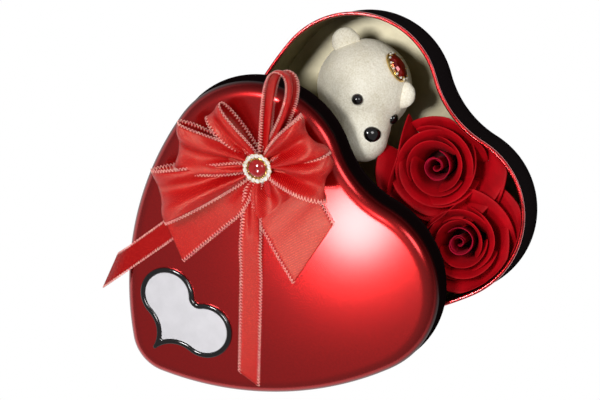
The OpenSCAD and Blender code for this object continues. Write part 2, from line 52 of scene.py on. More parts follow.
def add(tree, kind, inputs=(), **settings):
    """Adds a node. An input is given a value, or another node's output to link to."""
    made = tree.nodes.new(kind)
    for name, value in settings.items():
        setattr(made, name, value)
    for socket, value in dict(inputs).items():
        if isinstance(value, bpy.types.NodeSocket):
            tree.links.new(value, made.inputs[socket])
        else:
            made.inputs[socket].default_value = value
    return made


def ramp(tree, share, stops):
    """Colours along a share from 0 to 1: stops are [share, hex colour]."""
    made = add(tree, "ShaderNodeValToRGB", {"Fac": share})
    points = made.color_ramp.elements
    while len(points) < len(stops):
        points.new(0.5)
    for point, (place, code) in zip(points, stops):
        point.position = place
        point.color = linear(code)
    return made.outputs["Color"]


def finish(name, **shader_values):
    """A new material with its tree and its shader."""
    made = bpy.data.materials.new(name)
    made.use_nodes = True
    shader = made.node_tree.nodes["Principled BSDF"]
    for socket, value in shader_values.items():
        value = linear(value) if isinstance(value, str) else value
        shader.inputs[socket.replace("_", " ")].default_value = value
    return made, made.node_tree, shader


def coloured(tree, shader, share, stops):
    """Gives the surface its colours along a share."""
    tree.links.new(ramp(tree, share, stops), shader.inputs["Base Color"])


def bumped(tree, shader, height, distance, strength=1.0):
    """Small relief in a surface, its height in mm."""
    relief = add(tree, "ShaderNodeBump", {
        "Height": height, "Distance": distance*MM, "Strength": strength,
    })
    tree.links.new(relief.outputs["Normal"], shader.inputs["Normal"])


def place_of(tree):
    return add(tree, "ShaderNodeTexCoord").outputs["Object"]


def uneven(tree, size, detail=3.0, where=None):
    """Soft noise whose blots are about this many mm wide."""
    return add(tree, "ShaderNodeTexNoise", {
        "Vector": where or place_of(tree), "Scale": 1/(size*MM), "Detail": detail,
    }).outputs["Fac"]


# Roller-coated and stoved lacquer over tinplate: glossy, with the faint waviness of a pressed sheet
def lacquered_tin():
    made, tree, shader = finish(
        "stoved_red_and_black_lacquer", Metallic=1.0, Roughness=0.27, Coat_Roughness=0.2, Coat_IOR=1.7,
        Specular_IOR_Level=0.0)
    down = add(tree, "ShaderNodeAttribute", attribute_name="down").outputs["Fac"]
    # Red on the panel, darkening over the shoulder to near black as painted shade, and a black skirt
    red_with_painted_shade = ramp(tree, down, [[0.0, "#cc0a0c"], [0.07, "#ac080b"], [0.2, "#4a0406"], [0.34, "#120b0c"]])
    grain = ramp(tree, uneven(tree, 0.9, 2.0), [[0.35, "#6a0408"], [0.7, "#ff4038"]])
    # Inputs 6 and 7 and output 2 are a mix node's colours
    flecks = add(tree, "ShaderNodeMix", {0: 0.1, 6: red_with_painted_shade, 7: grain}, data_type="RGBA", blend_type="OVERLAY")
    tree.links.new(flecks.outputs[2], shader.inputs["Base Color"])
    # The metallic red and its clear coat end where the black begins
    for socket, top, bottom, most in (("Metallic", 0.2, 0.38, 1.0), ("Coat Weight", 0.02, 0.2, 0.6)):
        share = add(tree, "ShaderNodeMapRange", {
            "Value": down, "From Min": top, "From Max": bottom, "To Min": most, "To Max": 0.0,
        })
        tree.links.new(share.outputs["Result"], shader.inputs[socket])
    bumped(tree, shader, uneven(tree, 28.0, 1.0), 0.12)
    return made


# Black lacquer on the outer wall: nearly no colour and matt, with a faint mottle
def black_tin():
    made, tree, shader = finish(
        "stoved_black_lacquer", Roughness=0.6, Base_Color="#181314", Specular_IOR_Level=0.0)
    coloured(tree, shader, uneven(tree, 1.2), [[0.3, "#151011"], [0.75, "#1f1a1b"]])
    bumped(tree, shader, uneven(tree, 0.8, 2.0), 0.01)
    return made


# The rolled rim has the lid's red lacquer, and shows as a thin bright line
def red_rim():
    made, tree, shader = finish(
        "red_lacquered_rim", Metallic=1.0, Roughness=0.24, Base_Color="#c4161c", Coat_Weight=1.0,
        Coat_Roughness=0.08)
    coloured(tree, shader, uneven(tree, 5.0), [[0.3, "#a31015"], [0.7, "#d8262a"]])
    return made


# Gold lacquer over tinplate inside: a dull olive gold with a soft gloss, drawn out by the rolling
def gold_tin():
    made, tree, shader = finish(
        "gold_lacquered_tinplate", Metallic=0.15, Roughness=0.28, Base_Color="#8c8159")
    coloured(tree, shader, uneven(tree, 9.0), [[0.3, "#857a52"], [0.7, "#948961"]])
    rolled = add(tree, "ShaderNodeMapping", {"Vector": place_of(tree), "Scale": (1.0, 1.0, 14.0)})
    bumped(tree, shader, uneven(tree, 6.0, 2.0, rolled.outputs["Vector"]), 0.02)
    return made


# A wave texture's bands repeat every so much divided by its scale
WAVE_REPEAT = 0.314


# Woven polyester satin: floats along the ribbon give a soft sheen. Its fine twill sparkle is partly relief and
# partly painted glints in the colour
def satin(name, deep, lit, rough=0.27, shine=0.6):
    made, tree, shader = finish(
        name, Roughness=rough, Base_Color=lit, Sheen_Weight=0.05, Sheen_Roughness=0.3, Sheen_Tint="#ffb9a8",
        IOR=1.6, Specular_IOR_Level=shine, Specular_Tint="#ffdcc0")
    weave = add(tree, "ShaderNodeUVMap", uv_map="UVMap").outputs["UV"]
    # Threads are about 0.1 mm, drawn here 0.7 mm apart so that they show in the render
    slanted = add(tree, "ShaderNodeMapping", {"Vector": weave, "Rotation": (0, 0, math.radians(38))})
    twill = add(tree, "ShaderNodeTexWave", {
        "Vector": slanted.outputs["Vector"], "Scale": WAVE_REPEAT/(0.7*MM), "Distortion": 1.2,
        "Detail": 2.0, "Detail Scale": 3.0,
    }, wave_type="BANDS").outputs["Fac"]
    sparkle = uneven(tree, 0.55, 1.0)
    mixed = add(tree, "ShaderNodeMath", {0: twill, 1: sparkle}, operation="MULTIPLY").outputs[0]
    # The pale red at the top of the ramp is painted glints on the threads
    coloured(tree, shader, mixed, [[0.12, deep], [0.5, lit], [0.64, "#ff3c2c"]])
    bumped(tree, shader, mixed, 0.2)
    return made


# Picot edging: slack loops of the same yarn as the satin, coloured pale pink as painted highlight for the light
# they catch
def picot_yarn():
    made, tree, shader = finish(
        "picot_yarn", Roughness=0.5, Base_Color="#ff9a8c", Sheen_Weight=0.4, Sheen_Tint="#ffe0d0")
    coloured(tree, shader, uneven(tree, 2.0), [[0.3, "#f0707a"], [0.7, "#ffc4b0"]])
    return made


# Gold-plated zinc alloy, cast and polished
def brooch_gold():
    made, tree, shader = finish("gold_plated_alloy", Metallic=1.0, Roughness=0.2, Base_Color="#e0bd68")
    coloured(tree, shader, uneven(tree, 1.5), [[0.3, "#cda24a"], [0.7, "#f0d79a"]])
    bumped(tree, shader, uneven(tree, 0.6), 0.02)
    return made


# Foil-backed glass rhinestones: clear facets over silver. Their white and cream colour is painted reflection, for
# the way they flash
def rhinestone():
    made, tree, shader = finish(
        "foil_backed_rhinestone", Metallic=0.25, Roughness=0.12, Base_Color="#fbf3e2", Coat_Weight=1.0,
        Coat_Roughness=0.02)
    coloured(tree, shader, uneven(tree, 1.4, 1.0), [[0.35, "#e9dcc0"], [0.65, "#ffffff"]])
    return made


# Opaque red glass bead with a high polish
def red_bead():
    made, tree, shader = finish(
        "red_glass_bead", Roughness=0.12, Base_Color="#a3060c", Coat_Weight=1.0, Coat_Roughness=0.03)
    coloured(tree, shader, uneven(tree, 4.0), [[0.3, "#8e040a"], [0.7, "#b40a10"]])
    return made


# Foil-backed acrylic gem: dark red that lights up in its facets
def red_gem():
    made, tree, shader = finish(
        "foil_backed_red_acrylic", Metallic=0.6, Roughness=0.08, Base_Color="#8c060c", Coat_Weight=1.0,
        Coat_Roughness=0.03)
    coloured(tree, shader, uneven(tree, 5.0, 1.0), [[0.35, "#4a0206"], [0.65, "#a0100a"]])
    return made


# Moulded black plastic with a high gloss
def gloss_black(name):
    made, tree, shader = finish(
        name, Roughness=0.14, Base_Color="#080607", Coat_Weight=0.6, Coat_Roughness=0.05)
    coloured(tree, shader, uneven(tree, 3.0), [[0.3, "#060405"], [0.7, "#0e0b0c"]])
    return made


# Pearly white plastic film: bare, smooth, a little cloudy
def label_white():
    made, tree, shader = finish("pearly_white_film", Roughness=0.42, Base_Color="#cecccf")
    coloured(tree, shader, uneven(tree, 7.0), [[0.3, "#cac8cc"], [0.7, "#d2d0d4"]])
    bumped(tree, shader, uneven(tree, 0.7), 0.015)
    return made


# Short-pile polyester plush: matt, with a pale glow at the edges and small tufts
def plush():
    made, tree, shader = finish(
        "cream_short_pile_plush", Roughness=0.95, Base_Color="#f1ebd6", Sheen_Weight=0.5,
        Sheen_Roughness=0.6, Sheen_Tint="#fff8e6", Specular_IOR_Level=0.2)
    tufts = uneven(tree, 0.9, 3.0)
    broad = uneven(tree, 14.0, 2.0)
    # Inputs 2 and 3 are a mix node's plain values
    both = add(tree, "ShaderNodeMix", {0: 0.4, 2: tufts, 3: broad}, data_type="FLOAT").outputs[0]
    coloured(tree, shader, both, [[0.3, "#d9d0b6"], [0.62, "#fbf6e6"]])
    bumped(tree, shader, tufts, 0.25, 0.7)
    return made


# Soap foam, cut in thin sheets and pressed: matt, soft to the light, with a fine pitted grain
def soap_foam(name, deep, lit):
    made, tree, shader = finish(
        name, Roughness=0.62, Base_Color=lit, Sheen_Weight=0.12, Sheen_Roughness=0.5, Sheen_Tint="#ff4050",
        Specular_IOR_Level=0.15)
    coloured(tree, shader, uneven(tree, 11.0, 3.0), [[0.3, deep], [0.7, lit]])
    bumped(tree, shader, uneven(tree, 0.5, 2.0), 0.03)
    return made


LACQUER, BLACK_TIN, RIM, GOLD_TIN = lacquered_tin(), black_tin(), red_rim(), gold_tin()
SATIN = satin("red_satin", "#a40008", "#dc0812")
DULL_SATIN = satin("red_satin_dull_side", "#960008", "#b80610", rough=0.6, shine=0.2)
YARN, BROOCH_GOLD, RHINESTONE, BEAD, GEM = picot_yarn(), brooch_gold(), rhinestone(), red_bead(), red_gem()
EYE_BLACK, LABEL_BLACK = gloss_black("moulded_black_eye"), gloss_black("black_resin_edge")
LABEL_WHITE, PLUSH = label_white(), plush()
PETAL = soap_foam("red_soap_foam", "#9c000c", "#c20012")
HEART_OF_ROSE = soap_foam("crimson_soap_foam", "#a00424", "#bc0a36")
CUP = soap_foam("dark_soap_foam", "#3c0408", "#54060c")


# Making pieces

def shift(x=0.0, y=0.0, z=0.0):
    return Matrix.Translation(Vector((x, y, z))*MM)


def turn_by(degrees, axis="Z"):
    return Matrix.Rotation(math.radians(degrees), 4, axis)


def grid(across, along):
    """A flat sheet of quads whose corners run from 0 to 1 both ways, in its UV map too."""
    bm = bmesh.new()
    bm.loops.layers.uv.new("UVMap")
    bmesh.ops.create_grid(bm, x_segments=across, y_segments=along, size=0.5, calc_uvs=True)
    bmesh.ops.translate(bm, vec=(0.5, 0.5, 0), verts=bm.verts)
    return bm


def bend_sheet(bm, place):
    for v in bm.verts:
        v.co = place(v.co.x, v.co.y)


def cone(bm, segments, low, high, depth, at):
    """A cone or a disc about the middle of at: low and high are its radii, and all is in mm."""
    bmesh.ops.create_cone(bm, cap_ends=True, segments=segments, radius1=low*MM, radius2=high*MM,
                          depth=depth*MM, matrix=at)


def ball(bm, radius, at):
    bmesh.ops.create_icosphere(bm, subdivisions=2, radius=radius*MM, matrix=at)


NEAR = 0.002


def close_up(bm):
    """Joins the corners that meet, and turns all faces outwards."""
    bmesh.ops.remove_doubles(bm, verts=bm.verts, dist=NEAR*MM)
    bmesh.ops.dissolve_degenerate(bm, dist=NEAR*MM, edges=bm.edges)
    bmesh.ops.recalc_face_normals(bm, faces=bm.faces)


def put_in_scene(name, data):
    made = bpy.data.objects.new(name, data)
    scene.collection.objects.link(made)
    return made


def take_mesh(rough):
    """The mesh that a curve or an object's modifiers give. The object itself goes."""
    bpy.context.view_layer.update()
    mesh = bpy.data.meshes.new_from_object(rough.evaluated_get(bpy.context.evaluated_depsgraph_get()))
    bpy.data.objects.remove(rough)
    return mesh


def smooth_over(mesh):
    mesh.polygons.foreach_set("use_smooth", [True]*len(mesh.polygons))


def piece(name, bm, materials, body, nodes, crease=40, at=None):
    """Makes the finished object in place of its nodes, with its place in its mesh, and lets it ride on its body."""
    mesh = bpy.data.meshes.new(name)
    if at is not None:
        bmesh.ops.transform(bm, matrix=at, verts=bm.verts)
    bm.to_mesh(mesh)
    bm.free()
    made = put_in_scene(name, mesh)
    for m in materials if isinstance(materials, (list, tuple)) else [materials]:
        mesh.materials.append(m)
    smooth_over(mesh)
    if crease:
        mesh.set_sharp_from_angle(angle=math.radians(crease))
    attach(made, body)
    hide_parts(*nodes)
    return made


def thicken(made, thickness, steps=0):
    solid = made.modifiers.new("thickness", "SOLIDIFY")
    solid.thickness = thickness*MM
    solid.offset = 0
    if steps:
        smooth = made.modifiers.new("smooth", "SUBSURF")
        smooth.levels = smooth.render_levels = steps


def threads(name, lines, thickness, material, body):
    """Thin yarn along lines of points."""
    curve = bpy.data.curves.new(name, "CURVE")
    curve.dimensions = "3D"
    curve.bevel_depth = thickness/2*MM
    curve.bevel_resolution = 0
    curve.use_fill_caps = True
    for line in lines:
        spline = curve.splines.new("POLY")
        spline.points.add(len(line) - 1)
        for point, p in zip(spline.points, line):
            point.co = (*p, 1)
    mesh = take_mesh(put_in_scene(name + "_line", curve))
    mesh.materials.clear()
    mesh.materials.append(material)
    smooth_over(mesh)
    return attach(put_in_scene(name, mesh), body)


# The tin's outline, as in the CAD model

# Arcs of its right half from the notch to the tip: centre, radius, angles, and 1 if it bulges out or -1 if in
TIN_ARCS = [
    [(0, 96.073), 57, -90, -68.163, -1],
    [(38.5, 0), 46.5, 111.837, -12.877, 1],
    [(-80.919, 27.302), 169, -12.877, -57.355, 1],
    [(0, -99), 19, -57.355, -90, 1],
]
# The share of the way round that each arc is given
TIN_SHARES = [0.08, 0.38, 0.46, 0.08]
# Rows of floor and panel shrink towards it
TIN_MIDDLE = Vector((0, -33, 0))
ROUND = 288


def round_heart(arcs, shares, t, out=0.0):
    """The point t of the way round, from 0 to 1, moved out from the outline by so many mm."""
    left = 2*min(t, 1 - t)
    for arc, share in zip(arcs[:-1], shares):
        if left <= share + 1e-9:
            break
        left -= share
    else:
        arc, share = arcs[-1], shares[-1]
    centre, radius, start, end, side = arc
    turn = math.radians(start + (end - start)*min(left/share, 1))
    r = radius + out*side
    x, y = centre[0] + r*math.cos(turn), centre[1] + r*math.sin(turn)
    return Vector((x if t <= 0.5 else -x, y, 0))


def round_tin(t, out, height, shrink=1.0):
    p = round_heart(TIN_ARCS, TIN_SHARES, t, out)
    p = TIN_MIDDLE + (p - TIN_MIDDLE)*shrink
    return Vector((p.x, p.y, height))*MM


def swept(profile, line, steps, material_rows=()):
    """Carries a profile round a closed outline. Its points are what line takes: out, height and shrink, and
    then how far down the lacquer it lies. The next material starts at each of material_rows."""
    rows = len(profile) - 1
    bm = grid(steps, rows)
    for f in bm.faces:
        row = int(f.calc_center_median().y*rows)
        f.material_index = sum(1 for r in material_rows if row >= r)
    down = bm.verts.layers.float.new("down")
    for v in bm.verts:
        at = profile[round(v.co.y*rows)]
        v[down] = at[3] if len(at) > 3 else 0.0
        v.co = line(v.co.x, *at[:3])
    close_up(bm)
    return bm


def bend(centre, radius, start, end, steps):
    """Points of an arc in a profile."""
    turns = [math.radians(start + (end - start)*i/steps) for i in range(steps + 1)]
    return [(centre[0] + radius*math.cos(turn), centre[1] + radius*math.sin(turn)) for turn in turns]


# Tin

SHEET_T = 0.6
BASE_H = 52
RIM_R = 1.0
WALL_OUT = -0.5
WALL_IN = WALL_OUT - SHEET_T

LID_H = 20
SHOULDER_R = 7.5
SKIRT_OUT = 4.1
SKIRT_IN = SKIRT_OUT - SHEET_T
HEM_R = 0.7
# The lid lies askew on the base: a little aside and far towards the tip, turned by these degrees, and raised
# to clear the rim
LID = shift(0.5, -58.5, BASE_H) @ turn_by(1.5) @ turn_by(12.5, "X") @ turn_by(5, "Y") @ shift(z=0.842)
PANEL = LID @ shift(z=LID_H)

# Wall: the seam that holds the floor, the wall, the rolled rim and the gold inside
seam = [(-0.6, 0), (0.1, 0.5), (0.3, 1.2), (0.3, 2.4), (0.1, 2.9)]
outer = [(WALL_IN, 0)] + seam + [(WALL_OUT, z) for z in (3.3, 26, 49.8)]
rim = bend((-RIM_R, BASE_H - RIM_R), RIM_R, -60, 215, 14)
gilt = [(WALL_IN, z) for z in (49.6, 26, 0.7, 0)]
piece("base_wall_tin", swept(outer + rim + gilt, round_tin, ROUND, (len(outer), len(outer + rim) - 1)),
      [BLACK_TIN, RIM, GOLD_TIN], "base", ["base_wall"], crease=50)
above = [(WALL_IN, SHEET_T, k) for k in (0.0, 0.3, 0.6, 0.85, 0.98, 1.0)]
below = [(WALL_IN, 0, k) for k in (1.0, 0.98, 0.6, 0.3, 0.0)]
piece("base_floor_tin", swept(above + below, round_tin, ROUND, (len(above),)), [GOLD_TIN, BLACK_TIN], "base",
      ["base_floor"], crease=50)

# Lid: the panel, its rounded shoulder, the skirt and its rolled edge, and the gold inside
shoulder_at = (SKIRT_OUT - SHOULDER_R, LID_H - SHOULDER_R)
panel = [(shoulder_at[0], LID_H, k, 0.0) for k in (0.0, 0.25, 0.5, 0.75, 0.92, 0.985)]
shoulder = [(x, z, 1.0, (LID_H - z)/LID_H) for x, z in bend(shoulder_at, SHOULDER_R, 90, 0, 16)]
skirt = [(SKIRT_OUT, 7.0, 1.0, 0.65), (SKIRT_OUT, 1.9, 1.0, 0.9)]
hem = [(x, z, 1.0, 1.0) for x, z in bend((SKIRT_OUT, HEM_R), HEM_R, 80, -200, 12)]
outside = panel + shoulder + skirt + hem
inside = [(SKIRT_IN, z, 1.0) for z in (2.0, shoulder_at[1])]
inside += [(x, z, 1.0) for x, z in bend(shoulder_at, SHOULDER_R - SHEET_T, 10, 90, 8)]
inside += [(shoulder_at[0], LID_H - SHEET_T, k) for k in (0.985, 0.75, 0.5, 0.25, 0.0)]
piece("lid_tin", swept(outside + inside, round_tin, ROUND, (len(outside) - 1,)), [LACQUER, GOLD_TIN], "lid",
      ["lid_shell"], crease=50, at=LID)


# Label: a black raised edge round a bare white face

def flared(lobe_x, lobe, notch, side, tip_y, tip):
    """The arcs of a heart whose sides curve in towards its tip."""
    def turn(v):
        return math.degrees(math.atan2(v.y, v.x))

    a, t = Vector((lobe_x, 0)), Vector((0, tip_y))
    across, p, q = t - a, side + lobe, side + tip
    along = (p*p - q*q + across.length_squared)/(2*across.length)
    aside = math.sqrt(p*p - along*along)
    c = a + across.normalized()*along + Vector((-across.y, across.x)).normalized()*aside
    n = Vector((0, math.sqrt((lobe + notch)**2 - lobe_x*lobe_x)))
    to_tip = turn(t - c)
    return [
        [n, notch, -90, turn(a - n), -1],
        [a, lobe, turn(n - a), turn(c - a), 1],
        [c, side, turn(a - c), to_tip if to_tip > 0 else to_tip + 360, -1],
        [t, tip, turn(c - t), -90, 1],
    ]


LABEL_EDGE = 2.8
LABEL_LOBE_X, LABEL_LOBE, LABEL_NOTCH, LABEL_SIDE, LABEL_TIP = 14.16, 15.34, 2.95, 15.896, 1.003
OUTER_LABEL = flared(LABEL_LOBE_X, LABEL_LOBE, LABEL_NOTCH, LABEL_SIDE, -28.157, LABEL_TIP)
INNER_LABEL = flared(LABEL_LOBE_X, LABEL_LOBE - LABEL_EDGE, LABEL_NOTCH + LABEL_EDGE,
                     LABEL_SIDE + LABEL_EDGE, -20.585, LABEL_TIP)
LABEL_SHARES = [0.06, 0.44, 0.38, 0.12]
LABEL_MIDDLE = Vector((0, -4, 0))
LABEL = PANEL @ shift(-4.19, -81.34) @ turn_by(7.5)
LABEL_ROUND = 192
EDGE_FOOT, EDGE_ROUNDING = 0.7, 0.9
FACE_T = 0.8


def round_label(t, inward, height, shrink=1.0):
    """A point of the label: inward runs from 0 at the edge's outer line to 1 at its inner one."""
    a = round_heart(OUTER_LABEL, LABEL_SHARES, t)
    b = round_heart(INNER_LABEL, LABEL_SHARES, t)
    p = LABEL_MIDDLE + (a + (b - a)*inward - LABEL_MIDDLE)*shrink
    return Vector((p.x, p.y, height))*MM


edge = [(0.0, 0.0), (0.0, EDGE_FOOT)]
edge += [(0.5 - 0.5*math.cos(math.pi*i/12), EDGE_FOOT + EDGE_ROUNDING*math.sin(math.pi*i/12)) for i in range(1, 12)]
edge += [(1.0, EDGE_FOOT), (1.0, 0.0), (0.0, 0.0)]
piece("label_raised_edge", swept(edge, round_label, LABEL_ROUND), LABEL_BLACK, "lid", ["label_frame"], at=LABEL)
# The face runs just under the edge
face = [(1.02, FACE_T, k) for k in (0.0, 0.4, 0.7, 0.9, 1.0)] + [(1.02, 0.0, k) for k in (1.0, 0.5, 0.0)]
piece("label_white_face", swept(face, round_label, LABEL_ROUND), LABEL_WHITE, "lid", ["label_face"], at=LABEL)

# Ribbon

KNOT = PANEL @ shift(-40, 9.9975)
# Where ribbons come out of the knot, and how wide a loop is there
KNOT_SIDE = 6.2
LOOP_FOOT = 5.5
RIBBON_T = 0.3
RIBBON_STEPS = 72
EDGE_STEPS = 240
PICOT_PITCH, PICOT_STEPS, PICOT_YARN = 1.8, 6, 0.46
# How far a loop of yarn stands out, and how far it swings along the edge
PICOT_OUT, PICOT_LEAN = 0.6, 0.22
# A share of a ribbon's length that lies past its end, for what it doesn't do
NEVER = 1.01


def picots(points, side_at, at):
    """Loops of yarn along an edge. side_at tells which way is out, at a share of the ribbon's length."""
    gone, walk = [0.0], 0.0
    for a, b in zip(points, points[1:]):
        walk += (b - a).length
        gone.append(walk)
    steps = PICOT_STEPS*max(round(walk/PICOT_PITCH), 1)
    line, k = [], 0
    for i in range(steps + 1):
        here = walk*i/steps
        while k < EDGE_STEPS - 1 and gone[k + 1] < here:
            k += 1
        share = (here - gone[k])/max(gone[k + 1] - gone[k], 1e-9)
        p = points[k].lerp(points[k + 1], min(max(share, 0), 1))
        ahead = (points[k + 1] - points[k]).normalized()
        turn = 2*math.pi*i/PICOT_STEPS
        out = side_at((k + share)/EDGE_STEPS)*PICOT_OUT*(0.6 - 2*math.cos(turn))
        line.append(at @ ((p + out - ahead*PICOT_LEAN*math.sin(turn))*MM))
    return line


def ribbon(name, turn, path, width, pleats, phase, material=SATIN, puff=0.0, puffs=1.2):
    """A ribbon along a path. path(s) gives its middle, its side and the width that shows there, in mm.
    Where less than its whole width shows, the rest is taken up in pleats. puff is how far it billows."""
    at = KNOT @ turn_by(turn)
    across = 28 if width > 12 else 10

    def station(s):
        middle, side, shown = path(s)
        return Vector(middle), Vector(side).normalized(), shown

    def on_ribbon(u, s):
        middle, side, shown = station(s)
        ahead = station(min(s + 0.004, 1))[0] - station(max(s - 0.004, 0))[0]
        up = ahead.cross(side).normalized()
        spare = max((width/shown)**2 - 1, 0)
        fold = shown/(4*pleats)*math.sqrt(spare/1.1)
        w = u - 0.5
        ridge = math.sin(2*math.pi*pleats*w + phase)
        # The folds run on to the loop's end, where the ridges stand out further than the dents between them
        billow = puff*math.sin(math.pi*s)**2*math.sin(2*math.pi*w*puffs + phase)
        return middle + side*shown*w + up*(fold*ridge + billow) + Vector((abs(billow), 0, 0))*0.6

    bm = grid(across, RIBBON_STEPS)
    bend_sheet(bm, lambda u, s: on_ribbon(u, s)*MM)
    middles = [station(i/120)[0] for i in range(121)]
    length = sum((b - a).length for a, b in zip(middles, middles[1:]))
    uv = bm.loops.layers.uv.verify()
    for f in bm.faces:
        for corner in f.loops:
            corner[uv].uv = (corner[uv].uv.x*width*MM, corner[uv].uv.y*length*MM)
    sheet = piece(name + "_satin", bm, material, "lid", [name], crease=0, at=at)
    thicken(sheet, RIBBON_T)
    lines = [
        picots([on_ribbon(u, i/EDGE_STEPS) for i in range(EDGE_STEPS + 1)], lambda s: station(s)[1]*out, at)
        for u, out in ((0.0, -1), (1.0, 1))
    ]
    edging = threads(name + "_picots", lines, PICOT_YARN, YARN, "lid")


def loop_path(reach, width, rise, lean):
    """A loop leaves the knot low, swells to its full width and comes back higher, leaning to one side."""
    def path(s):
        out = max(math.sin(math.pi*s), 0)
        x = KNOT_SIDE + (reach - KNOT_SIDE)*out**0.8
        z = 2.8 + 3.0*s + rise*max(math.sin(math.pi*s**2.2), 0)
        tip = math.radians(lean)*math.sin(math.pi*s)
        return (x, 0, z), (0, math.cos(tip), math.sin(tip)), LOOP_FOOT + (width - LOOP_FOOT)*out**0.55
    return path


def tail_path(reach, width, slant, level=0.0, level_share=NEVER, wave=0.0, droop=0.0, edge_share=NEVER,
              gathered=5.0):
    """A tail lies along the lid, over so many levels of ribbon until level_share, and from edge_share on it
    droops past the lid's edge. Its end is cut at a slant."""
    def path(s):
        past = max(s - edge_share, 0)/(1 - edge_share)
        fall = min(max(s - level_share, 0)/0.15, 1)
        z = 0.6 + level*1.1*(1 + math.cos(math.pi*fall))/2
        z += wave*math.sin(2*math.pi*s)**2*(1 - s) - droop*past**2
        half = (gathered + (width - gathered)*min(math.sin(math.pi/2*min(2.5*s, 1))**0.8, 1))/2
        return (KNOT_SIDE + (reach - KNOT_SIDE)*s, 0, z), (slant*s, half, 0), math.hypot(slant*s, half)*2
    return path


def beside_path(path, aside, share):
    """The same path, led over to one side in its first share."""
    def moved(s):
        (x, y, z), side, shown = path(s)
        return (x, y + aside*math.sin(math.pi/2*min(s/share, 1)), z), side, shown
    return moved


def standing_path(reach, width, rise, half_open):
    """A loop that stands up, with its two halves half_open mm to each side of its middle."""
    def path(s):
        out = max(math.sin(math.pi*s), 0)
        swing = math.sin(2*math.pi*s)
        middle = (KNOT_SIDE + (reach - KNOT_SIDE)*out**0.9, -half_open*math.copysign(abs(swing)**0.8, swing),
                  0.3 + 2.2*(1 + s) + rise*out**1.4)
        side = (0, width*0.1*abs(math.cos(math.pi*s))**0.5 + 1.0, width*0.4*math.sin(math.pi*s) + 0.5)
        return middle, side, min(2*math.hypot(side[1], side[2]), width)
    return path


# Bow loops: the direction, reach, width, rise, lean, pleats and phase of each, and how it billows
for name, turn, reach, width, rise, lean, pleats, phase, puff, puffs in (
    ("bow_loop_upper_left", 215, 44, 27, 12, -16, 1.5, 0.9, 1.3, 0.8),
    ("bow_loop_lower_left", 248, 57, 28, 12, 6, 1.5, 2.4, 1.3, 0.8),
    ("bow_loop_small", 177, 38, 14, 9, -24, 1.0, 0.4, 0.8, 0.6),
    ("bow_loop_upper_right", 82, 37, 24, 12, 14, 1.5, 1.4, 1.8, 1.0),
    ("bow_loop_lower_right", 47, 39, 24, 12, -10, 1.5, 3.0, 1.8, 1.0),
):
    ribbon(name, turn, loop_path(reach, width, rise, lean), width, pleats, phase, puff=puff, puffs=puffs)
ribbon("bow_tail_left", 270, tail_path(68, 25, 4.0, level=1.2), 25, 2.5, 0.0)
ribbon("bow_tail_right", 349, tail_path(55, 36, -9.0, wave=2.0, gathered=9.0), 36, 2.0, 1.0)
ribbon("narrow_tail_left", 266, tail_path(115, 9.5, 9.0, droop=8.0, edge_share=0.84, gathered=3.5),
       10, 1.0, 0.0, DULL_SATIN)
ribbon("narrow_tail_straight", 316.5, beside_path(tail_path(122, 10, 3.0, level=2, level_share=0.36), -5.0, 0.08),
       10, 1.0, 0.5)
ribbon("narrow_loop", 118, standing_path(62, 10, 24, 6), 10, 1.0, 0.0)


def knot():
    """The ribbon wound round the middle of the bow, pulled tight in creases."""
    profile = [(0.0, 0.3), (3.4, 0.3), (5.2, 1.2), (6.0, 3.0), (6.0, 5.0), (5.3, 6.9), (3.6, 7.9), (0.0, 8.0)]
    creases, depth, twist = 14, 0.07, 5
    bm = grid(72, 28)

    def place(u, v):
        k = v*(len(profile) - 1)
        i = min(int(k), len(profile) - 2)
        r, z = (a + (b - a)*(k - i) for a, b in zip(profile[i], profile[i + 1]))
        crease = 1 + depth*math.sin(creases*2*math.pi*u + twist*v)*math.sin(math.pi*v)
        return Vector((r*crease*math.cos(2*math.pi*u), r*crease*math.sin(2*math.pi*u), z))*MM

    bend_sheet(bm, place)
    close_up(bm)
    piece("bow_knot_satin", bm, SATIN, "lid", ["bow_knot"], crease=0, at=KNOT)


knot()

# Brooch

BROOCH = KNOT @ shift(z=8)
STONES = 18
STONE_ROW = 6.9


def on_ring(i, r, z, half=0.0):
    """The place of stone i, or half a stone further on."""
    return Matrix.Rotation(2*math.pi*(i + half)/STONES, 4, "Z") @ shift(r, 0, z)


